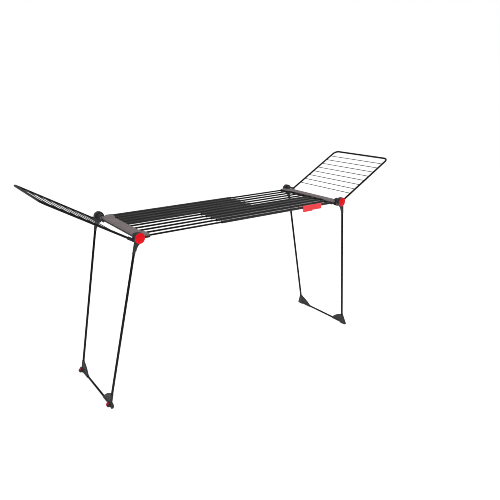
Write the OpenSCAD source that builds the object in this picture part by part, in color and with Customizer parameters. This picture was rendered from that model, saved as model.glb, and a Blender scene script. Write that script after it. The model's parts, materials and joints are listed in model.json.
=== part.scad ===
// Extendable clothes airer: two crossbars joined by ten telescoping rods, a folding
// U-shaped leg frame under each crossbar and a folding wing rack outside each crossbar.
// +X runs along the rods, +Y points to the far side, +Z is up and the floor is z = 0.
// Every piece is drawn at the +X, +Y corner and mirrored to the other corners.

/* [Rack] */
// Distance between the two pivot lines with the rack pulled out
pivot_span = 1520; // [1480:10:1560]
// Height of the pivots above the floor
pivot_z = 980; // [940:10:1010]
// Distance between neighbouring rods
rod_pitch = 54; // [52:0.5:55]
// Outer diameter of the outer telescoping tubes
outer_tube_d = 16.5; // [15:0.5:16.5]
// Diameter of the inner telescoping rods
inner_rod_d = 10.5; // [9:0.5:11]
// Distance of the outer tubes' mouths from the middle of the rack
mouth_x = 210; // [160:10:230]
// Length of inner rod that stays inside the outer tube when pulled out
overlap = 110; // [80:10:150]

/* [Crossbars] */
// Distance of a crossbar's outer edge from the pivot line, away from the rods
bar_out = 4; // [2:1:5]
// Crossbar depth along the rods, between its wider ends
bar_mid_depth = 62; // [60:1:66]
// Extra depth of a crossbar's ends
bar_flare = 16; // [10:1:18]
// Total height of a crossbar
bar_h = 20; // [20:0.5:22]
// Wall thickness of the crossbar shells
bar_wall = 3; // [2:0.5:4]

/* [Legs] */
// Angle of the open legs away from vertical
splay = 10.37; // [8:0.1:12]
// Outer diameter of a leg tube
leg_d = 14; // [12:0.5:14]
// Distance of a leg tube from the pivot, away from the rods
leg_offset = 15.5; // [14:0.5:17]
// Distance of a leg tube from the middle plane, at pivot height
leg_y_top = 265; // [264:0.5:266]
// Distance of a leg tube from the middle plane, at the foot bar
leg_y_foot = 215; // [205:1:220]
// Outer diameter of a foot bar
foot_bar_d = 12.5; // [11:0.5:13]
// Height of a foot bar's centre line above the floor
foot_bar_z = 12; // [11:0.5:14]

/* [Wings] */
// Angle of an open wing above horizontal
wing_angle = 29.7; // [20:0.1:35]
// Length of a wing from the pivot to its end tube
wing_l = 540; // [500:5:540]
// Outer diameter of the wing tube
wing_d = 12.5; // [11:0.5:12.5]
// Distance of a wing tube from the middle plane
wing_y = 243; // [242.5:0.5:243.5]
// Distance of the wing tubes from the pivot line
wing_offset = 23.6; // [23:0.2:25]
// Bend radius of the wing tube's corners
wing_bend = 34; // [25:1:60]
// Diameter of a wing wire
wire_d = 4.6; // [3:0.2:4.6]
// Position of the first wire along the wing
first_wire = 122; // [100:1:130]
// Distance between neighbouring wires
wire_pitch = 50.6; // [45:0.1:52]

/* [Hubs] */
// Radius of the leg hub's round head
hub_r = 30; // [28:0.5:30]
// Radius of the pivot pin
pin_r = 6; // [5:0.5:6]
// Radius of the red cap
cap_r = 29; // [26:0.5:29]
// Radius of a transport wheel
wheel_r = 12; // [11:0.5:12]

/* [Hidden] */
$fn = 64;

LEFT = -1;
RIGHT = 1;
NEAR = -1;
FAR = 1;
rods_per_end = 5;
big = 400;
fit = 0.02;
running = 0.06;

pivot_x = pivot_span / 2;
rod_z = pivot_z - 2;
outer_r = outer_tube_d / 2;
bore_r = outer_r - 0.8;
inner_r = inner_rod_d / 2;
last_rod_y = rod_pitch * (rods_per_end - 0.5);

// Slices across the width, from the middle plane outwards
hub_y0 = 221.5;
hub_y1 = 234.8;
knuckle_y0 = 235.2;
knuckle_y1 = 251;
leg_hub_y0 = 252.2;
leg_hub_y1 = 278.5;
pin_head_y0 = 271.3;
pin_head_y1 = 277.4;
cap_y1 = 285.2;
washer_t = 2.8;
washer_r = 10;

// Crossbar outline
bar_z0 = rod_z - bar_h / 2;
bar_z1 = rod_z + bar_h / 2;
bar_x1 = pivot_x + bar_out;
bar_x0 = bar_x1 - bar_mid_depth;
bar_end_y = hub_y0 - 0.3;
ear_x1 = pivot_x - 32;
ear_y = last_rod_y + outer_r + 1;
flare_y0 = 156;
flare_y1 = 196;
strip_z1 = bar_z1 - 4;
screw_x = pivot_x - 8;
screw_ys = [-190, -108, 0, 108, 190];

// Leg frame
leg_r = leg_d / 2;
foot_r = foot_bar_d / 2;
leg_l = (pivot_z + leg_offset * sin(splay) - foot_bar_z) / cos(splay);
foot_x = pivot_x + leg_offset * cos(splay) + leg_l * sin(splay);
bracket_l = 88;
sleeve_r = leg_r + 1.4;
lug_a0 = 248;
lug_a1 = 262;
pad_h = 3;
sole_z = 2.2;
foot_socket_l = 64;
foot_bar_end = leg_y_foot - 25;
wheel_x = foot_x + 14;
wheel_z = wheel_r + 1;
wheel_w = 14;
cheek_t = 4;
axle_reach = wheel_w / 2 + cheek_t - 0.6;

// Wing
wing_r = wing_d / 2;
wing_wall = 1.2;
wires = 8;

// ---------- helpers ----------

// Moves a piece from the +X, +Y corner to another corner
module corner(end, side) {
    mirror([end == LEFT ? 1 : 0, 0, 0]) mirror([0, side == NEAR ? 1 : 0, 0]) children();
}

module at_end(end) {
    mirror([end == LEFT ? 1 : 0, 0, 0]) children();
}

// A round bar or hole from point a to point b
module rod(a, b, r) {
    d = b - a;
    translate(a) rotate([0, acos(d.z / norm(d)), atan2(d.y, d.x)]) cylinder(h = norm(d), r = r);
}

module tube(a, b, r, wall) {
    u = (b - a) / norm(b - a);
    difference() {
        rod(a, b, r);
        rod(a - u, b + u, r - wall);
    }
}

// A flat shape in the X-Z plane, given thickness from y0 to y1
module across(y0, y1) {
    translate([0, y1, 0]) rotate([90, 0, 0]) linear_extrude(y1 - y0) children();
}

module disc(y0, y1, r) {
    across(y0, y1) circle(r);
}

// Part of a ring in the X-Z plane, from angle a0 to a1
module sector(y0, y1, r0, r1, a0, a1) {
    translate([0, y1, 0]) rotate([90, 0, 0]) rotate([0, 0, a0]) rotate_extrude(angle = a1 - a0)
        translate([r0, 0]) square([r1 - r0, y1 - y0]);
}

// Axes of the open leg: -Z runs down the leg and +X points away from the rods
module on_leg() {
    translate([pivot_x, 0, pivot_z]) rotate([0, -splay, 0]) children();
}

// The same axes with their origin on the foot bar's centre line
module on_foot() {
    translate([foot_x, 0, foot_bar_z]) rotate([0, -splay, 0]) children();
}

// Axes of the open wing: +X runs outwards along the wing tubes
module on_wing() {
    translate([pivot_x, 0, pivot_z]) rotate([0, -wing_angle, 0]) children();
}

function rod_y(k) = rod_pitch * (k + 0.5);
// The outermost rods end in the ears and the others in the middle of the crossbar
function rod_end(k) = pivot_x - (k == rods_per_end - 1 ? 34 : 16);
// Angle that a leg frame folds by, with a little to spare
function leg_turn(end) = end == LEFT ? 100 : 93.2;
function leg_y(z) = leg_y_top + (leg_y_top - leg_y_foot) * z / leg_l;

// ---------- crossbars ----------

// Plan of a crossbar, shrunk all round by the inset i: a round outer corner, an ear for the
// outermost rod and an inner edge that swings out towards the ends
module bar_plan(i) {
    corner_r = 15 - i;
    x1 = bar_x1 - i;
    y1 = bar_end_y - i;
    ex = ear_x1 - i;
    ey = ear_y - i;
    round_corner = [for (a = [0 : 10 : 90])
        [x1 - corner_r + corner_r * cos(a), y1 - corner_r + corner_r * sin(a)]];
    ear = [[ex, y1], [ex, ey - 12], [ex - 4, ey - 4], [ex - 12, ey]];
    inner_edge = [for (t = [1 : -1 / 12 : -0.01])
        [bar_x0 + i - bar_flare * ease(t), flare_y0 + (flare_y1 - flare_y0) * t]];
    half = concat([[x1, 0]], round_corner, ear, [[bar_x0 + i - bar_flare, ey]], inner_edge,
        [[bar_x0 + i, 0]]);
    polygon(half);
    mirror([0, 1]) polygon(half);
}

// 0 to 1 with a gentle start and end
function ease(t) = 3 * t * t - 2 * t * t * t;

// Strip of the given thickness along a crossbar's inner edge
module inner_strip(z1, t) {
    translate([0, 0, rod_z - 1]) linear_extrude(z1 - rod_z + 1) difference() {
        bar_plan(0);
        translate([t, 0]) bar_plan(0);
    }
}

// Slab that runs from z0 to z1 with the crossbar's plan
module bar_slab(z0, z1, i) {
    translate([0, 0, z0]) linear_extrude(z1 - z0) bar_plan(i);
}

// Blocks that clamp the rod ends inside the shells
module rod_saddles(z0, z1) {
    for (k = [0 : rods_per_end - 1], s = [NEAR, FAR])
        translate([pivot_x - 46, s * rod_y(k) - 11, z0]) cube([32, 22, z1 - z0]);
}

// Outer tubes lie on one side of the rack and inner rods on the other
module rod_holes(end) {
    for (k = [0 : rods_per_end - 1]) {
        rod([pivot_x - 120, -end * rod_y(k), rod_z], [rod_end(k) + fit, -end * rod_y(k), rod_z],
            outer_r + fit);
        rod([pivot_x - 120, end * rod_y(k), rod_z], [rod_end(k) + fit, end * rod_y(k), rod_z],
            inner_r + fit);
    }
}

// A tongue on each fixed hub enters the crossbar through its end wall
module hub_tongue(gap) {
    side = 12 + 2 * gap;
    translate([pivot_x - 30 - gap, hub_y0 - 12 - gap, rod_z - side / 2])
        cube([18 + 2 * gap, 14 + 2 * gap, side]);
}

// Room in the crossbar's end walls for the tongues
module hub_holes() {
    for (s = [NEAR, FAR]) mirror([0, s == NEAR ? 1 : 0, 0]) hub_tongue(fit);
}

module screw_posts(z0, z1, r) {
    for (y = screw_ys) rod([screw_x, y, z0], [screw_x, y, z1], r);
}

module bar_cover(end) {
    color("#857b7b") at_end(end) difference() {
        union() {
            difference() {
                bar_slab(rod_z + 0.1, bar_z1, 0);
                bar_slab(rod_z, bar_z1 - bar_wall, bar_wall);
            }
            intersection() {
                bar_slab(rod_z + 0.1, bar_z1 - 1, 1);
                rod_saddles(rod_z + 0.1, bar_z1 - 1);
            }
            screw_posts(rod_z + 0.1, bar_z1 - 1, 5);
        }
        rod_holes(end);
        hub_holes();
        inner_strip(strip_z1 + 0.1, bar_wall + 0.1);
        screw_posts(rod_z - 1, rod_z + 8, 1.7);
    }
}

module bar_base(end) {
    color("#1c1b1c") at_end(end) difference() {
        union() {
            difference() {
                bar_slab(bar_z0, rod_z - 0.1, 0);
                bar_slab(bar_z0 + bar_wall, rod_z, bar_wall);
            }
            inner_strip(strip_z1, bar_wall);
            intersection() {
                bar_slab(bar_z0 + 1, rod_z - 0.1, 1);
                rod_saddles(bar_z0 + 1, rod_z - 0.1);
            }
            screw_posts(bar_z0 + 1, rod_z - 0.1, 5);
        }
        rod_holes(end);
        hub_holes();
        screw_posts(bar_z0 - 1, rod_z + 1, 1.7);
        screw_posts(bar_z0 - 1, bar_z0 + 2.8, 3.9);
    }
}

module bar_screws(end) {
    color("#8c8c8c") at_end(end) for (y = screw_ys) {
        rod([screw_x, y, bar_z0 + 0.3], [screw_x, y, bar_z0 + 2.8], 3.7);
        rod([screw_x, y, bar_z0 + 2.7], [screw_x, y, rod_z + 7], 1.65);
    }
}

// ---------- telescoping rods ----------

module outer_tubes(end) {
    color("#2c2b2c") at_end(end) for (k = [0 : rods_per_end - 1])
        tube([-mouth_x, -end * rod_y(k), rod_z], [rod_end(k), -end * rod_y(k), rod_z],
            outer_r, outer_r - bore_r);
}

module inner_rods(end) {
    color("#101010") at_end(end) for (k = [0 : rods_per_end - 1])
        tube([mouth_x - overlap, end * rod_y(k), rod_z], [rod_end(k), end * rod_y(k), rod_z],
            inner_r, 1);
}

// Collared bushes pressed into the mouths of the outer tubes
module tube_bushes(end) {
    color("#202020") at_end(end) for (k = [0 : rods_per_end - 1]) difference() {
        union() {
            rod([-mouth_x - 3.5, -end * rod_y(k), rod_z], [-mouth_x - fit, -end * rod_y(k), rod_z],
                outer_r + 0.4);
            rod([-mouth_x - 1, -end * rod_y(k), rod_z], [18 - mouth_x, -end * rod_y(k), rod_z],
                bore_r - fit);
        }
        rod([-mouth_x - 9, -end * rod_y(k), rod_z], [30 - mouth_x, -end * rod_y(k), rod_z],
            inner_r + running);
    }
}

// Guides plugged into the hidden ends of the inner rods
module rod_guides(end) {
    color("#d8d4c8") at_end(end) for (k = [0 : rods_per_end - 1]) {
        rod([mouth_x - overlap - 12, end * rod_y(k), rod_z],
            [mouth_x - overlap - fit, end * rod_y(k), rod_z], bore_r - running);
        rod([mouth_x - overlap - 1, end * rod_y(k), rod_z],
            [mouth_x - overlap + 14, end * rod_y(k), rod_z], inner_r - 1 - fit);
    }
}

// Red clip snapped round the outermost tube, with a flat plate on its outer side that
// reaches lower along one half
module rod_clip() {
    clip_l = 162;
    grip_r = outer_r + 0.1;
    color("#e8384a") translate([426, -last_rod_y, rod_z]) rotate([90, 0, 90]) {
        linear_extrude(clip_l) difference() {
            union() {
                circle(grip_r + 2);
                translate([-grip_r - 2.6, -23]) square([2.2, 33]);
                translate([-grip_r - 1, -3]) square([3, 6]);
            }
            circle(grip_r);
            rotate([0, 0, -40]) square([20, 20]);
        }
        translate([-grip_r - 2.6, -28, 2]) cube([2.2, 7, clip_l / 2]);
    }
}

// ---------- fixed hubs and pivots ----------

// Block on the crossbar's end that carries the pivot pin, with a stop for the wing
module fixed_hub(end, side) {
    color("#343436") corner(end, side) difference() {
        union() {
            translate([pivot_x, 0, pivot_z]) {
                disc(hub_y0, hub_y1, 20);
                across(hub_y0, hub_y1) translate([-31.7, -12]) square([33.7, 20]);
                sector(hub_y0, knuckle_y1 - 0.5, 25, 33, -128, -106);
                across(hub_y0, hub_y1) polygon([[-14, -10], [-3, -12], [-8.8, -31.6], [-19, -26]]);
            }
            hub_tongue(0);
        }
        translate([pivot_x, 0, pivot_z]) {
            disc(200, 240, pin_r + fit);
            disc(200, hub_y0 + washer_t + fit, washer_r + fit);
        }
    }
}

// Pins with a flange let into the fixed hub and a lugged head outside, which stops the leg
module pivot_pins(end) {
    color("#9a9a9c") for (side = [NEAR, FAR]) corner(end, side) translate([pivot_x, 0, pivot_z]) {
        disc(hub_y0 + 0.2, hub_y0 + washer_t, washer_r);
        disc(hub_y0 + 0.2, pin_head_y0 + 1, pin_r);
        disc(pin_head_y0, pin_head_y1, 9.5);
        sector(pin_head_y0 + 0.5, pin_head_y1 - 0.5, 8, 17, lug_a0, lug_a1);
    }
}

// ---------- leg frames ----------

// Round head on the pivot with a sleeve for the leg tube and a web that joins them
module leg_hub(end, side) {
    web_y = leg_y(-60);
    color("#38383a") corner(end, side) on_leg() difference() {
        union() {
            disc(leg_hub_y0, leg_hub_y1, hub_r);
            rod([leg_offset, leg_y(-14), -14], [leg_offset, leg_y(-bracket_l), -bracket_l], sleeve_r);
            across(web_y - 7.5, web_y + 7.5) difference() {
                polygon([[-18, -22], [20, 0], [15.5, -76], [6, -72]]);
                translate([-54, -72]) circle(60, $fn = 96);
            }
        }
        disc(leg_hub_y0 - 1, leg_hub_y1, pin_r + running);
        disc(pin_head_y0 - 0.3, leg_hub_y1 + 1, 10);
        sector(pin_head_y0 - 0.3, leg_hub_y1 + 1, 8, 18, lug_a0 - splay - 0.4,
            lug_a1 - splay + leg_turn(end));
        rod([leg_offset, leg_y(-26), -26], [leg_offset, leg_y(-bracket_l - 6), -bracket_l - 6],
            leg_r + fit);
    }
}

// Domed red cap that snaps into the leg hub
module hub_cap(end, side) {
    dome_r = 72;
    color("#e60f1e") corner(end, side) translate([pivot_x, 0, pivot_z]) intersection() {
        disc(leg_hub_y1 + 0.1, cap_y1, cap_r);
        translate([0, cap_y1 - dome_r, 0]) sphere(dome_r, $fn = 128);
    }
}

module leg_tube(end, side) {
    bottom = -leg_l + 14;
    color("#0c0c0d") corner(end, side) on_leg()
        tube([leg_offset, leg_y(-27), -27], [leg_offset, leg_y(bottom), bottom], leg_r, 1.2);
}

module foot_bar(end) {
    color("#0c0c0d") at_end(end)
        tube([foot_x, -foot_bar_end, foot_bar_z], [foot_x, foot_bar_end, foot_bar_z], foot_r, 1.2);
}

// Outer edge of the foot, seen along the rods: a flare on the right, a stepped toe on the left
module toe(end) {
    top = foot_socket_l;
    y = leg_y_foot;
    flare = [[y - 8, top], [y + 9, top], [y + 34, -4], [y + 35, -16], [y - 16, -16]];
    step = [[y - 12, 14], [y + 9, 16], [y + 29, 9], [y + 33, -16], [y - 16, -16]];
    rotate([90, 0, 90]) linear_extrude(15, center = true) polygon(end == LEFT ? step : flare);
}

// Web between the leg socket and the bar socket, with its rounded free edge
module foot_web() {
    rotate([90, 0, 90]) linear_extrude(8, center = true) intersection() {
        translate([leg_y_foot + 68.6, -141.7]) circle(216.9, $fn = 180);
        translate([leg_y_foot - 94, -6]) square([94, 72]);
    }
}

// Cheeks on both sides of the wheel, at the given distances from the middle plane
module wheel_cheeks() {
    for (y = [leg_y_foot - wheel_w / 2 - 0.6 - cheek_t, leg_y_foot + wheel_w / 2 + 0.6])
        across(y, y + cheek_t) {
            translate([wheel_x, wheel_z]) circle(9.5);
            polygon([[foot_x - 6, 4], [wheel_x, wheel_z - 9.4], [wheel_x, wheel_z + 9.4],
                [foot_x - 8, 36]]);
        }
}

module foot(end, side) {
    socket_end = leg_y_foot - 92;
    color("#343438") corner(end, side) difference() {
        union() {
            difference() {
                union() {
                    on_foot() union() {
                        rod([0, leg_y_foot, -8], [0, leg_y(foot_socket_l - leg_l), foot_socket_l],
                            leg_r + 1.6);
                        toe(end);
                        foot_web();
                    }
                    rod([foot_x, socket_end, foot_bar_z], [foot_x, leg_y_foot - 2, foot_bar_z],
                        foot_r + 2.6);
                }
                if (end == LEFT) wheel_room();
            }
            if (end == LEFT) wheel_cheeks();
        }
        if (end == LEFT) translate([wheel_x, 0, wheel_z])
            disc(leg_y_foot - axle_reach - fit, leg_y_foot + axle_reach + fit, 2.5 + fit);
        on_foot() rod([0, leg_y(14 - leg_l), 13.9], [0, leg_y(90 - leg_l), 90], leg_r + fit);
        rod([foot_x, socket_end - 5, foot_bar_z], [foot_x, foot_bar_end + fit, foot_bar_z],
            foot_r + fit);
        translate([foot_x - big / 2, 0, sole_z - big]) cube([big, big, big]);
        translate([0, 0, -fit]) foot_pad_plan(fit, pad_h + 2 * fit);
    }
}

// Space that the turning wheel needs
module wheel_room() {
    translate([wheel_x, 0, wheel_z])
        disc(leg_y_foot - wheel_w / 2 - 0.6, leg_y_foot + wheel_w / 2 + 0.6, wheel_r + 0.8);
}

// A rubber pad: a strip with round ends under the toe
module foot_pad_plan(grow, h) {
    pad_w = 12 + 2 * grow;
    translate([foot_x, 0, 0]) linear_extrude(h) {
        translate([-pad_w / 2, leg_y_foot - 8]) square([pad_w, 32]);
        translate([0, leg_y_foot - 8]) circle(pad_w / 2);
        translate([0, leg_y_foot + 24]) circle(pad_w / 2);
    }
}

module foot_pads(end) {
    color("#161616") for (side = [NEAR, FAR]) corner(end, side) foot_pad_plan(0, pad_h);
}

module wheel_axles(end) {
    color("#9a9a9c") for (side = [NEAR, FAR]) corner(end, side) translate([wheel_x, 0, wheel_z])
        disc(leg_y_foot - axle_reach, leg_y_foot + axle_reach, 2.5);
}

module wheel(end, side) {
    color("#c4122a") corner(end, side) translate([wheel_x, 0, wheel_z]) difference() {
        union() {
            disc(leg_y_foot - wheel_w / 2 + 1.5, leg_y_foot + wheel_w / 2 - 1.5, wheel_r);
            disc(leg_y_foot - wheel_w / 2, leg_y_foot + wheel_w / 2, wheel_r - 1.5);
        }
        disc(leg_y_foot - wheel_w, leg_y_foot + wheel_w, 2.5 + running);
    }
}

// ---------- wings ----------

// One tube bent into a U: two arms, two corners and the end tube
module wing_frame(end) {
    arm_x0 = -4;
    bend_x = wing_l - wing_bend;
    bend_y = wing_y - wing_bend;
    color("#0c0c0d") at_end(end) on_wing() translate([0, 0, -wing_offset]) {
        for (s = [NEAR, FAR]) {
            tube([arm_x0, s * wing_y, 0], [bend_x, s * wing_y, 0], wing_r, wing_wall);
            wing_corner(s, bend_x, bend_y);
        }
        tube([wing_l, -bend_y, 0], [wing_l, bend_y, 0], wing_r, wing_wall);
    }
}

module wing_corner(s, x, y) {
    mirror([0, s == NEAR ? 1 : 0, 0]) translate([x, y, 0])
        rotate_extrude(angle = 90) translate([wing_bend, 0]) difference() {
            circle(wing_r);
            circle(wing_r - wing_wall);
        }
}

module wing_wires(end) {
    reach = wing_y - wing_r + 1;
    color("#5a5a5c") at_end(end) on_wing() translate([0, 0, -wing_offset])
        for (k = [0 : wires - 1]) {
            x = first_wire + k * wire_pitch;
            rod([x, -reach, 0], [x, reach, 0], wire_d / 2);
        }
}

// Knuckle that turns on the pivot pin and holds the end of a wing tube
module wing_knuckle(end, side) {
    socket = [[-12, -32.4], [46, -32.4], [46, -14.8], [10, -14.8], [-18, -8]];
    color("#303032") corner(end, side) on_wing() difference() {
        across(knuckle_y0, knuckle_y1) {
            circle(22);
            polygon(socket);
        }
        disc(knuckle_y0 - 1, knuckle_y1 + 1, pin_r + running);
        rod([-4 - fit, wing_y, -wing_offset], [60, wing_y, -wing_offset], wing_r + fit);
    }
}

// ---------- nodes ----------

module left_bar_cover() { bar_cover(LEFT); }
module left_bar_base() { bar_base(LEFT); }
module left_bar_screws() { bar_screws(LEFT); }
module left_outer_tubes() { outer_tubes(LEFT); }
module left_inner_rods() { inner_rods(LEFT); }
module left_tube_bushes() { tube_bushes(LEFT); }
module left_rod_guides() { rod_guides(LEFT); }
module left_hub_near() { fixed_hub(LEFT, NEAR); }
module left_hub_far() { fixed_hub(LEFT, FAR); }
module left_pivot_pins() { pivot_pins(LEFT); }
module left_leg_hub_near() { leg_hub(LEFT, NEAR); }
module left_leg_hub_far() { leg_hub(LEFT, FAR); }
module left_cap_near() { hub_cap(LEFT, NEAR); }
module left_cap_far() { hub_cap(LEFT, FAR); }
module left_leg_tube_near() { leg_tube(LEFT, NEAR); }
module left_leg_tube_far() { leg_tube(LEFT, FAR); }
module left_foot_bar() { foot_bar(LEFT); }
module left_foot_near() { foot(LEFT, NEAR); }
module left_foot_far() { foot(LEFT, FAR); }
module left_foot_pads() { foot_pads(LEFT); }
module left_wheel_axles() { wheel_axles(LEFT); }
module left_wheel_near() { wheel(LEFT, NEAR); }
module left_wheel_far() { wheel(LEFT, FAR); }
module left_wing_frame() { wing_frame(LEFT); }
module left_wing_wires() { wing_wires(LEFT); }
module left_wing_knuckle_near() { wing_knuckle(LEFT, NEAR); }
module left_wing_knuckle_far() { wing_knuckle(LEFT, FAR); }
module right_bar_cover() { bar_cover(RIGHT); }
module right_bar_base() { bar_base(RIGHT); }
module right_bar_screws() { bar_screws(RIGHT); }
module right_outer_tubes() { outer_tubes(RIGHT); }
module right_inner_rods() { inner_rods(RIGHT); }
module right_tube_bushes() { tube_bushes(RIGHT); }
module right_rod_guides() { rod_guides(RIGHT); }
module right_hub_near() { fixed_hub(RIGHT, NEAR); }
module right_hub_far() { fixed_hub(RIGHT, FAR); }
module right_pivot_pins() { pivot_pins(RIGHT); }
module right_leg_hub_near() { leg_hub(RIGHT, NEAR); }
module right_leg_hub_far() { leg_hub(RIGHT, FAR); }
module right_cap_near() { hub_cap(RIGHT, NEAR); }
module right_cap_far() { hub_cap(RIGHT, FAR); }
module right_leg_tube_near() { leg_tube(RIGHT, NEAR); }
module right_leg_tube_far() { leg_tube(RIGHT, FAR); }
module right_foot_bar() { foot_bar(RIGHT); }
module right_foot_near() { foot(RIGHT, NEAR); }
module right_foot_far() { foot(RIGHT, FAR); }
module right_foot_pads() { foot_pads(RIGHT); }
module right_wing_frame() { wing_frame(RIGHT); }
module right_wing_wires() { wing_wires(RIGHT); }
module right_wing_knuckle_near() { wing_knuckle(RIGHT, NEAR); }
module right_wing_knuckle_far() { wing_knuckle(RIGHT, FAR); }

left_bar_cover();
left_bar_base();
left_bar_screws();
left_outer_tubes();
left_inner_rods();
left_tube_bushes();
left_rod_guides();
left_hub_near();
left_hub_far();
left_pivot_pins();
left_leg_hub_near();
left_leg_hub_far();
left_cap_near();
left_cap_far();
left_leg_tube_near();
left_leg_tube_far();
left_foot_bar();
left_foot_near();
left_foot_far();
left_foot_pads();
left_wheel_axles();
left_wheel_near();
left_wheel_far();
left_wing_frame();
left_wing_wires();
left_wing_knuckle_near();
left_wing_knuckle_far();
right_bar_cover();
right_bar_base();
right_bar_screws();
right_outer_tubes();
right_inner_rods();
right_tube_bushes();
right_rod_guides();
right_hub_near();
right_hub_far();
right_pivot_pins();
rod_clip();
right_leg_hub_near();
right_leg_hub_far();
right_cap_near();
right_cap_far();
right_leg_tube_near();
right_leg_tube_far();
right_foot_bar();
right_foot_near();
right_foot_far();
right_foot_pads();
right_wing_frame();
right_wing_wires();
right_wing_knuckle_near();
right_wing_knuckle_far();
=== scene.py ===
import json
import math

import bmesh
import bpy
from mathutils import Matrix, Vector


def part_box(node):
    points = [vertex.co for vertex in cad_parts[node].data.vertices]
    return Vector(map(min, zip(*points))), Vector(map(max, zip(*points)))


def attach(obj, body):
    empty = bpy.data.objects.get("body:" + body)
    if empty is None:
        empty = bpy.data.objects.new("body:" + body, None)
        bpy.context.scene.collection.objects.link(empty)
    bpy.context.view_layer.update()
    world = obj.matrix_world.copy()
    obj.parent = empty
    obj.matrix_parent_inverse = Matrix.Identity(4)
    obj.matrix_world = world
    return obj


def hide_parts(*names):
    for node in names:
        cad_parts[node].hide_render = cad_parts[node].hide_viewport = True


# The looks of a free-standing clothes airer: materials, moulded detail, stage and camera.
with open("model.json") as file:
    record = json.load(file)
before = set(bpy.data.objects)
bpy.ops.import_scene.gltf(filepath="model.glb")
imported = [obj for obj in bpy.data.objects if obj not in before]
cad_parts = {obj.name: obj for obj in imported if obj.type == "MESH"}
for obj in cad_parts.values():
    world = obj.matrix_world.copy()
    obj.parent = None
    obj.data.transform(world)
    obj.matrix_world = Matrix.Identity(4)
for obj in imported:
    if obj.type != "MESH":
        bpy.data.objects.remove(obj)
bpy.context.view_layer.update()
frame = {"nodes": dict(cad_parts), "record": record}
scene = bpy.context.scene
nodes = frame["nodes"]
record = frame["record"]
slot_of = {row["node"]: row["material_slot"] for row in record["subparts"]}
body_of = {n: body for body, names in record["behaviour"]["bodies"].items() for n in names}
MM = 0.001

# ---------- camera ----------

camera = bpy.data.objects.new("camera", bpy.data.cameras.new("camera"))
scene.collection.objects.link(camera)
scene.camera = camera
camera.location = (-1.8869, -2.5435, 1.7567)
camera.rotation_euler = (math.radians(90 - 18.25), 0, math.radians(-33.18))
camera.data.sensor_width = 36
camera.data.lens = 36.55
camera.data.shift_x = 0.1054
camera.data.shift_y = -0.0039
camera.data.clip_end = 200


# ---------- materials ----------

class Shader:
    """A material with a Principled shader and short calls for the nodes around it."""

    def __init__(self, name):
        self.material = bpy.data.materials.new(name)
        self.material.use_nodes = True
        self.tree = self.material.node_tree
        self.bsdf = next(n for n in self.tree.nodes if n.type == "BSDF_PRINCIPLED")
        self.position = self.node("ShaderNodeTexCoord").outputs["Object"]

    def node(self, kind, **settings):
        n = self.tree.nodes.new(kind)
        for key, value in settings.items():
            setattr(n, key, value)
        return n

    def link(self, source, target):
        self.tree.links.new(source, target)

    def noise(self, scale, detail=3.0, rough=0.5, stretch=None):
        n = self.node("ShaderNodeTexNoise")
        n.inputs["Scale"].default_value = scale
        n.inputs["Detail"].default_value = detail
        n.inputs["Roughness"].default_value = rough
        source = self.position
        if stretch:
            m = self.node("ShaderNodeMapping")
            m.inputs["Scale"].default_value = stretch
            self.link(source, m.inputs["Vector"])
            source = m.outputs["Vector"]
        self.link(source, n.inputs["Vector"])
        return n.outputs["Fac"]

    def spread(self, value, low, high, start=0.3, end=0.7):
        n = self.node("ShaderNodeMapRange")
        for key, x in (("From Min", start), ("From Max", end), ("To Min", low), ("To Max", high)):
            n.inputs[key].default_value = x
        self.link(value, n.inputs["Value"])
        return n.outputs["Result"]

    def times(self, a, b):
        n = self.node("ShaderNodeMath", operation="MULTIPLY")
        self.link(a, n.inputs[0])
        self.link(b, n.inputs[1])
        return n.outputs[0]

    def mix(self, share, a, b):
        n = self.node("ShaderNodeMix", data_type="RGBA")
        self.link(share, n.inputs["Factor"])
        for socket, value in ((n.inputs[6], a), (n.inputs[7], b)):
            if isinstance(value, tuple):
                socket.default_value = (*value, 1)
            else:
                self.link(value, socket)
        return n.outputs[2]

    def edges(self, radius, gain=6.0):
        """1 along convex edges and 0 on the flats."""
        bevel = self.node("ShaderNodeBevel", samples=4)
        bevel.inputs["Radius"].default_value = radius
        geometry = self.node("ShaderNodeNewGeometry")
        dot = self.node("ShaderNodeVectorMath", operation="DOT_PRODUCT")
        self.link(bevel.outputs["Normal"], dot.inputs[0])
        self.link(geometry.outputs["Normal"], dot.inputs[1])
        return self.spread(dot.outputs["Value"], 1.0, 0.0, 1 - 1 / gain, 0.995)

    def bump(self, height, strength, distance, below=None):
        n = self.node("ShaderNodeBump")
        n.inputs["Strength"].default_value = strength
        n.inputs["Distance"].default_value = distance
        self.link(height, n.inputs["Height"])
        if below:
            self.link(below, n.inputs["Normal"])
        return n.outputs["Normal"]


def shade(colour, by):
    """The colour made lighter or darker."""
    return tuple(min(1.0, c * by) for c in colour)


def moulded(name, colour, rough, worn, wear=0.25):
    """Injection-moulded plastic: fine grain, faint flow clouds, edges rubbed to the worn colour."""
    s = Shader(name)
    clouds = s.noise(14, 4)
    base = s.mix(s.spread(clouds, 0, 1), shade(colour, 0.88), shade(colour, 1.1))
    rubbed = s.times(s.edges(0.0012), s.spread(s.noise(160, 3), 0, wear, 0.35, 0.65))
    base = s.mix(rubbed, base, worn)
    s.link(base, s.bsdf.inputs["Base Color"])
    s.link(s.spread(s.noise(38, 4), rough - 0.05, rough + 0.07), s.bsdf.inputs["Roughness"])
    fine = s.bump(s.noise(900, 2), 0.12, 0.0002)
    s.link(s.bump(s.noise(70, 2), 0.05, 0.0004, fine), s.bsdf.inputs["Normal"])
    s.bsdf.inputs["Specular IOR Level"].default_value = 0.22
    return s.material


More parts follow.
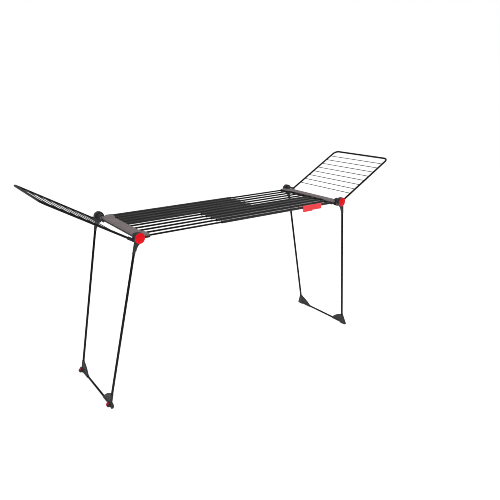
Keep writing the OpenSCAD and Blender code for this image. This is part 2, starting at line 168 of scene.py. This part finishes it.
def coated(name, colour, specular):
    """Powder coat on steel tube: orange-peel surface, cloudy tone and fine dust specks."""
    s = Shader(name)
    specks = s.spread(s.noise(1500, 1), 0, 0.5, 0.66, 0.74)
    base = s.mix(s.spread(s.noise(9, 4), 0, 1), shade(colour, 0.8), shade(colour, 1.25))
    base = s.mix(specks, base, shade(colour, 2.0))
    s.link(base, s.bsdf.inputs["Base Color"])
    s.link(s.spread(s.noise(60, 5), 0.32, 0.46), s.bsdf.inputs["Roughness"])
    s.link(s.bump(s.noise(420, 2), 0.1, 0.0003), s.bsdf.inputs["Normal"])
    s.bsdf.inputs["Specular IOR Level"].default_value = specular
    return s.material


def gloss(name, colour, rough=0.4, specular=0.14):
    """Polished moulded plastic with hairline scratches and a slight sink of the surface."""
    s = Shader(name)
    base = s.mix(s.spread(s.noise(20, 3), 0, 1), shade(colour, 0.92), shade(colour, 1.06))
    s.link(base, s.bsdf.inputs["Base Color"])
    scratches = s.noise(240, 6, 0.7, (1, 1, 14))
    s.link(s.spread(scratches, rough - 0.03, rough + 0.14, 0.4, 0.75), s.bsdf.inputs["Roughness"])
    s.link(s.bump(s.noise(55, 2), 0.06, 0.0004), s.bsdf.inputs["Normal"])
    s.bsdf.inputs["Specular IOR Level"].default_value = specular
    s.bsdf.inputs["Coat Weight"].default_value = 0.04
    s.bsdf.inputs["Coat Roughness"].default_value = 0.12
    return s.material


def plated(name, colour):
    """Zinc-plated steel: crystalline clouds and turning marks."""
    s = Shader(name)
    base = s.mix(s.spread(s.noise(260, 4), 0, 1), shade(colour, 0.75), shade(colour, 1.15))
    s.link(base, s.bsdf.inputs["Base Color"])
    s.link(s.spread(s.noise(500, 3), 0.28, 0.5), s.bsdf.inputs["Roughness"])
    s.link(s.bump(s.noise(1200, 2), 0.1, 0.0001), s.bsdf.inputs["Normal"])
    s.bsdf.inputs["Metallic"].default_value = 1
    return s.material


def rubber(name, colour):
    """Matt rubber with a blotchy surface bloom."""
    s = Shader(name)
    base = s.mix(s.spread(s.noise(120, 5), 0, 1), shade(colour, 0.8), shade(colour, 2.2))
    s.link(base, s.bsdf.inputs["Base Color"])
    s.link(s.spread(s.noise(300, 3), 0.7, 0.9), s.bsdf.inputs["Roughness"])
    s.link(s.bump(s.noise(1400, 2), 0.2, 0.0002), s.bsdf.inputs["Normal"])
    s.bsdf.inputs["Specular IOR Level"].default_value = 0.25
    return s.material


TAUPE = (0.15, 0.124, 0.125)
BLACK = (0.008, 0.0075, 0.008)
CHARCOAL = (0.026, 0.026, 0.028)
materials = {
    "taupe_plastic": moulded("taupe_plastic", TAUPE, 0.52, (0.3, 0.26, 0.255), wear=0.35),
    "black_plastic": moulded("black_plastic", BLACK, 0.5, (0.06, 0.06, 0.06)),
    "charcoal_plastic": moulded("charcoal_plastic", CHARCOAL, 0.46, (0.11, 0.11, 0.115)),
    "red_plastic": gloss("red_plastic", (0.79, 0.002, 0.009), specular=0.08),
    "clip_plastic": gloss("clip_plastic", (0.92, 0.05, 0.065), 0.42),
    "wheel_plastic": moulded("wheel_plastic", (0.45, 0.006, 0.03), 0.4, (0.5, 0.1, 0.1)),
    "natural_plastic": moulded("natural_plastic", (0.68, 0.66, 0.58), 0.45, (0.8, 0.8, 0.75)),
    "black_paint": coated("black_paint", (0.003, 0.003, 0.0035), specular=0.12),
    "charcoal_paint": coated("charcoal_paint", (0.018, 0.017, 0.018), specular=0.18),
    "grey_paint": coated("grey_paint", (0.012, 0.012, 0.013), specular=0.15),
    "zinc_steel": plated("zinc_steel", (0.55, 0.55, 0.57)),
    "pad_rubber": rubber("pad_rubber", (0.01, 0.01, 0.01)),
}


WELD_GAP = 0.002 * MM
EDGE_ROUND = 0.5 * MM


def finish_cad(node):
    """A carried-over CAD node: its material, and rounded edges from modifiers."""
    o = nodes[node]
    o.data.materials.clear()
    o.data.materials.append(materials[slot_of[node]])
    weld = o.modifiers.new("weld", "WELD")
    weld.merge_threshold = WELD_GAP
    flat = o.modifiers.new("flat", "DECIMATE")
    flat.decimate_type = "DISSOLVE"
    flat.angle_limit = math.radians(1)
    edge = o.modifiers.new("edge", "BEVEL")
    edge.width = EDGE_ROUND
    edge.segments = 2
    edge.limit_method = "ANGLE"
    edge.angle_limit = math.radians(35)
    edge.harden_normals = True


for node in nodes:
    finish_cad(node)


# ---------- shape tools ----------

# Everything below is drawn in millimetres at the +X, +Y corner of the airer, as in the CAD,
# and mirrored to the corner named by END and SIDE.
END = {"left": -1, "right": 1}
SIDE = {"near": -1, "far": 1}
CORNERS = [(end, side) for end in END for side in SIDE]
PIVOT_X, PIVOT_Z = 760, 980
ROD_Z = 978
# Legs: splay, the tube's distance from the pivot line, and its ends at the hub and at the foot
SPLAY = math.radians(10.37)
LEG_OFFSET = 15.5
LEG_LENGTH = 986.9
LEG_Y = 265
FOOT_Y, FOOT_Z = 215, 12
# Wings: slope, and where the U-shaped tube and its wires lie on it
WING_ANGLE = math.radians(29.7)
WING_Y, WING_Z = 243, -23.6
WIRES, WIRE_START, WIRE_PITCH = 8, 122, 50.6


def tilted(x0, z0, angle, x, y, z):
    """Point of an axis system that is turned about Y, as the legs' and the wings' are."""
    c, s = math.cos(angle), math.sin(angle)
    return Vector((x0 + x * c - z * s, y, z0 + x * s + z * c))


foot_x = sum(v.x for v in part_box("right_foot_bar")) / 2 / MM


def on_foot(x, y, z):
    """Point measured from the foot bar's line, with z up along the leg."""
    return tilted(foot_x, FOOT_Z, SPLAY, x, y, z)


def on_wing(x, y, z):
    """Point measured from the pivot, with x out along the wing."""
    return tilted(PIVOT_X, PIVOT_Z, WING_ANGLE, x, y, z)


def add(name, bm, node, end="right", side="far", slot=None, replaces=False, sharp=38):
    """A piece from corner millimetres, riding with the node's body and finished as its slot."""
    mirror = Matrix.Diagonal((END[end] * MM, SIDE[side] * MM, MM, 1))
    bmesh.ops.transform(bm, matrix=mirror, verts=bm.verts)
    bmesh.ops.recalc_face_normals(bm, faces=bm.faces)
    mesh = bpy.data.meshes.new(name)
    bm.to_mesh(mesh)
    bm.free()
    mesh.shade_smooth()
    mesh.set_sharp_from_angle(angle=math.radians(sharp))
    return place(name, mesh, node, slot, replaces)


def place(name, mesh, node, slot=None, replaces=True):
    """An object from a finished mesh, on the node's body and in its material or the slot's."""
    o = bpy.data.objects.new(name, mesh)
    scene.collection.objects.link(o)
    mesh.materials.clear()
    mesh.materials.append(materials[slot or slot_of[node]])
    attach(o, body_of[node])
    if replaces:
        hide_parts(node)
    return o


def turned(bm, centre, axis, profile, steps=72, closed=False):
    """Surface of revolution: the profile's rows are a radius and a distance along the axis."""
    axis = Vector(axis).normalized()
    u = axis.orthogonal().normalized()
    w = axis.cross(u)
    rings = []
    for r, h in profile:
        at = Vector(centre) + axis * h
        if r < 1e-6:
            rings.append([bm.verts.new(at)])
            continue
        turn = [2 * math.pi * i / steps for i in range(steps)]
        rings.append([bm.verts.new(at + (u * math.cos(t) + w * math.sin(t)) * r) for t in turn])
    pairs = list(zip(rings, rings[1:])) + ([(rings[-1], rings[0])] if closed else [])
    for a, b in pairs:
        for i in range(steps):
            j = (i + 1) % steps
            if len(a) == 1:
                bm.faces.new((a[0], b[j], b[i]))
            elif len(b) == 1:
                bm.faces.new((a[i], a[j], b[0]))
            else:
                bm.faces.new((a[i], a[j], b[j], b[i]))


def swept(bm, path, radius, steps=16):
    """Round bar with domed ends along a path of points in one plane."""
    path = [Vector(p) for p in path]
    last = len(path) - 1
    normal = (path[1] - path[0]).cross(path[-1] - path[0])
    if normal.length < 1e-6:
        normal = (path[1] - path[0]).orthogonal()
    normal.normalize()
    turn = [2 * math.pi * k / steps for k in range(steps)]
    rings = []
    for i, p in enumerate(path):
        along = (path[min(i + 1, last)] - path[max(i - 1, 0)]).normalized()
        across = along.cross(normal)
        spokes = [across * math.cos(t) + normal * math.sin(t) for t in turn]
        rows = [(1, 0)]
        if i == 0:
            rows = [(0.35, -0.94), (0.8, -0.6)] + rows
        if i == last:
            rows = rows + [(0.8, 0.6), (0.35, 0.94)]
        for scale, push in rows:
            at = p + along * push * radius
            rings.append([bm.verts.new(at + v * radius * scale) for v in spokes])
    for a, b in zip(rings, rings[1:]):
        for i in range(steps):
            j = (i + 1) % steps
            bm.faces.new((a[i], a[j], b[j], b[i]))
    bm.faces.new(rings[0][::-1])
    bm.faces.new(rings[-1])


def softened(node, voxel=1.0, passes=5):
    """A moulded copy of a CAD node, with fillets along its edges and in its corners."""
    name = node + "_moulded"
    o = bpy.data.objects.new(name, nodes[node].data.copy())
    scene.collection.objects.link(o)
    weld = o.modifiers.new("weld", "WELD")
    weld.merge_threshold = WELD_GAP
    remesh = o.modifiers.new("voxels", "REMESH")
    remesh.mode = "VOXEL"
    remesh.voxel_size = voxel * MM
    smooth = o.modifiers.new("fillets", "SMOOTH")
    smooth.factor = 0.5
    smooth.iterations = passes
    evaluated = o.evaluated_get(bpy.context.evaluated_depsgraph_get())
    mesh = bpy.data.meshes.new_from_object(evaluated)
    bpy.data.objects.remove(o)
    mesh.name = name
    mesh.shade_smooth()
    return place(name, mesh, node)


# ---------- crossbars ----------

# Plan of a crossbar, with distances from the pivot line: outer face, inner face at mid length,
# how far that face flares at the ends and between which y, and the ear at each end
BAR_OUT, BAR_MID, BAR_FLARE = 4, -58, 16
BAR_END_Y, EAR_O, EAR_Y = 221.2, -32, 251
FLARE_Y0, FLARE_Y1, FLARE_STEPS = 156, 196, 14
END_ROUND, EAR_ROUND = 15, 12
# The cover's rebate for the base's inner strip: its depth, and how far below the top it ends
REBATE, STRIP_DROP = 3.1, 3.9
# Kinds of outline point: CORNER and INNER ones stop at the rebate, and INNER ones turn into it
PLAIN, CORNER, INNER = range(3)
ROD_YS = [54 * (k + 0.5) for k in range(5)]
OUTER_R, INNER_R = 8.25, 5.25


def flare(y):
    """Distance of the crossbar's inner face from the pivot line, at y."""
    t = min(1, max(0, (y - FLARE_Y0) / (FLARE_Y1 - FLARE_Y0)))
    return BAR_MID - BAR_FLARE * t * t * (3 - 2 * t)


def arc(o, y, r, a0, a1, n):
    """Points of a round stretch of the outline, about (o, y), from angle a0 to a1."""
    turn = [math.radians(a0 + (a1 - a0) * k / n) for k in range(n + 1)]
    return [(o + r * math.cos(t), y + r * math.sin(t), PLAIN) for t in turn]


def half_outline(i):
    """Half of the crossbar's plan, shrunk by i: distance from the pivot line, y and kind."""
    rows = [(BAR_OUT - i, 0, PLAIN)]
    rows += arc(BAR_OUT - END_ROUND, BAR_END_Y - END_ROUND, END_ROUND - i, 0, 90, 9)
    rows += [(EAR_O - i, BAR_END_Y - i, PLAIN)]
    rows += arc(EAR_O - EAR_ROUND, EAR_Y - EAR_ROUND, EAR_ROUND - i, 0, 90, 8)
    rows += [(BAR_MID - BAR_FLARE + REBATE + i, EAR_Y - i, CORNER)]
    rows += [(BAR_MID - BAR_FLARE + i, EAR_Y - i, INNER)]
    rows += [(flare(y) + i, y, INNER) for y in
             (FLARE_Y1 - (FLARE_Y1 - FLARE_Y0) * k / FLARE_STEPS for k in range(FLARE_STEPS + 1))]
    rows += [(BAR_MID + i, 0, INNER)]
    return rows


def outline(i):
    """The crossbar's whole plan, shrunk by i."""
    half = half_outline(i)
    return half + [(o, -y, kind) for o, y, kind in half[-2:0:-1]]


def bar_cover(end):
    """Taupe cover: rounded rim all round and a rebate for the base's inner strip."""
    node = f"{end}_bar_cover"
    low, high = (v.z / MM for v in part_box(node))
    strip = high - STRIP_DROP
    rim = [(0, low, REBATE, low), (0, low, REBATE, strip), (0, low, 0, strip)]
    rim += [(i, high - d, 0, strip) for i, d in
            ((0, 3.4), (0.2, 2.2), (0.7, 1.2), (1.5, 0.5), (2.5, 0.12), (3.8, 0))]
    bm = bmesh.new()
    loops = []
    for i, z, shift, inner_z in rim:
        loop = []
        for o, y, kind in outline(i):
            if kind == INNER:
                o += shift
            at_z = z if kind == PLAIN else max(z, inner_z)
            loop.append(bm.verts.new((PIVOT_X + o, y, at_z)))
        loops.append(loop)
    count = len(loops[0])
    for a, b in zip(loops, loops[1:]):
        for k in range(count):
            j = (k + 1) % count
            bm.faces.new((a[k], a[j], b[j], b[k]))
    bm.faces.new(loops[0][::-1])
    bm.faces.new(loops[-1])
    bmesh.ops.remove_doubles(bm, verts=bm.verts, dist=0.001)
    return add(f"{end}_crossbar_cover", bm, node, end, replaces=True, sharp=30)


def rod_sockets(end):
    """Collars of the crossbar's inner face, one round each rod."""
    bm = bmesh.new()
    for y in ROD_YS:
        for side, r in ((-END[end], OUTER_R), (END[end], INNER_R)):
            face = PIVOT_X + flare(y)
            profile = [(r + 0.1, 1), (r + 1.6, 1), (r + 1.5, -2.4), (r + 1.2, -3.1),
                       (r + 0.7, -3.4), (r + 0.1, -3.4)]
            turned(bm, (face, side * y, ROD_Z), (1, 0, 0), profile, 40, True)
    add(f"{end}_rod_sockets", bm, f"{end}_bar_base", end)


def underside_ribs(end):
    """Stiffening ribs moulded under the crossbar: two rails and cross ribs between the screws."""
    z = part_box(f"{end}_bar_base")[0].z / MM + 0.2
    outer, middle, inner, reach = -6, -28, -50, 205
    bm = bmesh.new()
    for o in (outer, inner):
        swept(bm, [(PIVOT_X + o, y, z) for y in (-reach, 0, reach)], 1.1, 12)
    for y in (-reach, -149, -67, -40, 40, 67, 149, reach):
        swept(bm, [(PIVOT_X + o, y, z) for o in (inner, middle, outer)], 1.0, 12)
    add(f"{end}_base_ribs", bm, f"{end}_bar_base", end)


# ---------- hubs, caps, feet and wheels ----------

# Radius of a cap's dome, and the radii of the rings that draw it
DOME_R = 73
DOME_ROWS = (3, 6, 9, 12, 15, 18, 21, 23, 25)
# The leg hub's raised bands, and how far its sleeve reaches down the leg
BAND_YS = (257.5, 273.5)
SLEEVE_END = 88
# The foot's web: centre and radius of its curved edge, and the edge's ends as y and height
WEB_Y, WEB_Z, WEB_R = FOOT_Y + 68.6, -141.7, 216.9
WEB_TOP = (FOOT_Y - 4, 64)
WEB_TIP = (FOOT_Y - 92, 5)
BEAD_INSET, BEAD_STEPS = 2, 24


def hub_cap(end, side):
    """Domed red cap with a fine groove inside its rim."""
    node = f"{end}_cap_{side}"
    low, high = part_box(node)
    top = max(abs(low.y), abs(high.y)) / MM
    back = min(abs(low.y), abs(high.y)) / MM
    r = (high.x - low.x) / 2 / MM
    dome = [(0, top)] + [(x, top - x * x / (2 * DOME_R)) for x in DOME_ROWS]
    rim = [(25.3, top - 4.75), (25.7, top - 4.8), (26, top - 4.6), (27.2, top - 5.1),
           (28.2, top - 5.55), (r - 0.3, top - 5.9), (r, top - 6.3), (r - 0.4, back), (0, back)]
    bm = bmesh.new()
    turned(bm, (PIVOT_X, 0, PIVOT_Z), (0, 1, 0), dome + rim, 120)
    add(f"{end}_hub_cap_{side}", bm, node, end, side, replaces=True, sharp=50)


def hub_bands(end, side):
    """Raised bands round the leg hub's head and a lip round the mouth of its sleeve."""
    bm = bmesh.new()
    for y in BAND_YS:
        band = [(29, -1.6), (30.1, -1.4), (30.5, -0.7), (30.5, 0.7), (30.1, 1.4), (29, 1.6)]
        turned(bm, (PIVOT_X, y, PIVOT_Z), (0, 1, 0), band, 96, True)
    slope = (LEG_Y - FOOT_Y) / LEG_LENGTH
    mouth_y = LEG_Y - SLEEVE_END * slope
    mouth = tilted(PIVOT_X, PIVOT_Z, SPLAY, LEG_OFFSET, mouth_y, -SLEEVE_END)
    down = tilted(0, 0, SPLAY, 0, -slope, -1)
    lip = [(7.1, -5), (8.3, -5), (8.8, -4), (8.8, -1), (8.4, -0.2), (7.9, 0.3), (7.1, 0.3)]
    turned(bm, mouth, down, lip, 48, True)
    add(f"{end}_hub_bands_{side}", bm, f"{end}_leg_hub_{side}", end, side)


def knuckle_collar(end, side):
    """Lip round the mouth of a wing knuckle's socket."""
    bm = bmesh.new()
    mouth = on_wing(46, WING_Y, WING_Z)
    out = on_wing(1, 0, 0) - on_wing(0, 0, 0)
    lip = [(6.35, -6), (8.6, -6), (9.1, -5), (9.1, -1), (8.5, 0.2), (7.6, 0.8), (6.35, 0.8)]
    turned(bm, mouth, out, lip, 48, True)
    add(f"{end}_knuckle_collar_{side}", bm, f"{end}_wing_knuckle_{side}", end, side)


def foot_bead(end, side):
    """Rounded edge of the foot's web, and two ribs that run down to the bar's socket."""
    a0, a1 = (math.atan2(z - WEB_Z, y - WEB_Y) for y, z in (WEB_TOP, WEB_TIP))
    r = WEB_R - BEAD_INSET
    turn = [a0 + (a1 - a0) * k / BEAD_STEPS for k in range(BEAD_STEPS + 1)]
    edge = [on_foot(0, WEB_Y + r * math.cos(t), WEB_Z + r * math.sin(t)) for t in turn]
    bm = bmesh.new()
    swept(bm, edge, 4.9)
    bottom = 6
    for inset in (26, 50):
        y = FOOT_Y - inset
        top = WEB_Z + math.sqrt(r ** 2 - (y - WEB_Y) ** 2)
        swept(bm, [on_foot(0, y, z) for z in (bottom, (bottom + top) / 2, top)], 4.6)
    add(f"{end}_foot_bead_{side}", bm, f"{end}_foot_{side}", end, side)


def wheel(side):
    """Transport wheel: grooved tread, recessed sides, five spokes and a boss."""
    node = f"left_wheel_{side}"
    low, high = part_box(node)
    r = (high.z - low.z) / 2 / MM
    half = (high.y - low.y) / 2 / MM
    centre = Vector((-(low.x + high.x) / 2, abs(low.y + high.y) / 2, (low.z + high.z) / 2)) / MM
    rows = [(2.6, half), (4.6, half), (4.9, half - 0.4), (4.9, half - 2.4), (9.3, half - 2.4),
            (9.6, half - 0.3), (10.2, half), (r - 1.7, half), (r - 0.6, half - 0.6),
            (r, half - 1.7), (r, 3.1), (r - 0.8, 2.5), (r, 1.9), (r, 0.4)]
    bm = bmesh.new()
    turned(bm, centre, (0, 1, 0), rows + [(a, -h) for a, h in rows[::-1]], 72, True)
    for k in range(5):
        t = 2 * math.pi * k / 5
        spoke = Vector((math.cos(t), 0, math.sin(t)))
        for h in (half - 1.4, 1.4 - half):
            at = centre + Vector((0, h, 0))
            swept(bm, [at + spoke * d for d in (4.5, 7, 9.8)], 1.1, 10)
    add(f"left_roller_{side}", bm, node, "left", side, replaces=True)


def weld_beads(end):
    """Small weld at both ends of every wing wire."""
    weld_y = 236.6
    wide, thick = 3.4, 1.7
    bm = bmesh.new()
    for side in (-1, 1):
        for k in range(WIRES):
            at = on_wing(WIRE_START + WIRE_PITCH * k, side * weld_y, WING_Z)
            bead = bmesh.ops.create_icosphere(bm, subdivisions=2, radius=1)["verts"]
            swell = 1 + 0.12 * math.sin(5 * k + side)
            for v in bead:
                v.co = at + Vector((v.co.x * wide * swell, v.co.y * thick, v.co.z * wide))
    add(f"{end}_wire_welds", bm, f"{end}_wing_wires", end, slot="black_paint", sharp=180)


for end in END:
    bar_cover(end)
    rod_sockets(end)
    underside_ribs(end)
    weld_beads(end)
for end, side in CORNERS:
    for part in ("hub", "leg_hub", "wing_knuckle"):
        softened(f"{end}_{part}_{side}")
    softened(f"{end}_foot_{side}", 1.1, 4)
    hub_cap(end, side)
    hub_bands(end, side)
    knuckle_collar(end, side)
    foot_bead(end, side)
for side in SIDE:
    wheel(side)

# ---------- stage ----------

def pale_floor():
    """A wide floor with a glow of its own, so that it stays white round the airer."""
    bpy.ops.mesh.primitive_plane_add(size=60)
    floor = bpy.context.object
    floor.name = "floor"
    s = Shader("floor")
    base = s.mix(s.noise(3, 2), (0.29, 0.29, 0.29), (0.31, 0.31, 0.31))
    s.link(base, s.bsdf.inputs["Base Color"])
    s.bsdf.inputs["Roughness"].default_value = 0.8
    s.bsdf.inputs["Specular IOR Level"].default_value = 0
    s.bsdf.inputs["Emission Color"].default_value = (1, 1, 1, 1)
    s.bsdf.inputs["Emission Strength"].default_value = 0.86
    floor.data.materials.append(s.material)


def white_world():
    """White behind everything, and half as bright where it lights the airer."""
    world = bpy.data.worlds.new("studio")
    scene.world = world
    world.use_nodes = True
    background = world.node_tree.nodes["Background"]
    background.inputs["Color"].default_value = (1, 1, 1, 1)
    path = world.node_tree.nodes.new("ShaderNodeLightPath")
    strength = world.node_tree.nodes.new("ShaderNodeMapRange")
    strength.inputs["To Min"].default_value = 0.5
    strength.inputs["To Max"].default_value = 1.0
    world.node_tree.links.new(path.outputs["Is Camera Ray"], strength.inputs["Value"])
    world.node_tree.links.new(strength.outputs["Result"], background.inputs["Strength"])


def softbox(name, at, aim, size, power):
    """A round area light at one point, aimed at another."""
    data = bpy.data.lights.new(name, "AREA")
    data.shape = "DISK"
    data.size = size
    data.energy = power
    o = bpy.data.objects.new(name, data)
    scene.collection.objects.link(o)
    o.location = at
    o.rotation_euler = (Vector(aim) - Vector(at)).to_track_quat("-Z", "Y").to_euler()


pale_floor()
white_world()
softbox("key", (-2.5, -2.5, 5.0), (0, 0, 0.6), 3.5, 120)
softbox("top", (1.5, 1.0, 5.5), (0, 0, 0.6), 4.0, 90)

scene.view_settings.view_transform = "Standard"
scene.cycles.filter_width = 0.9
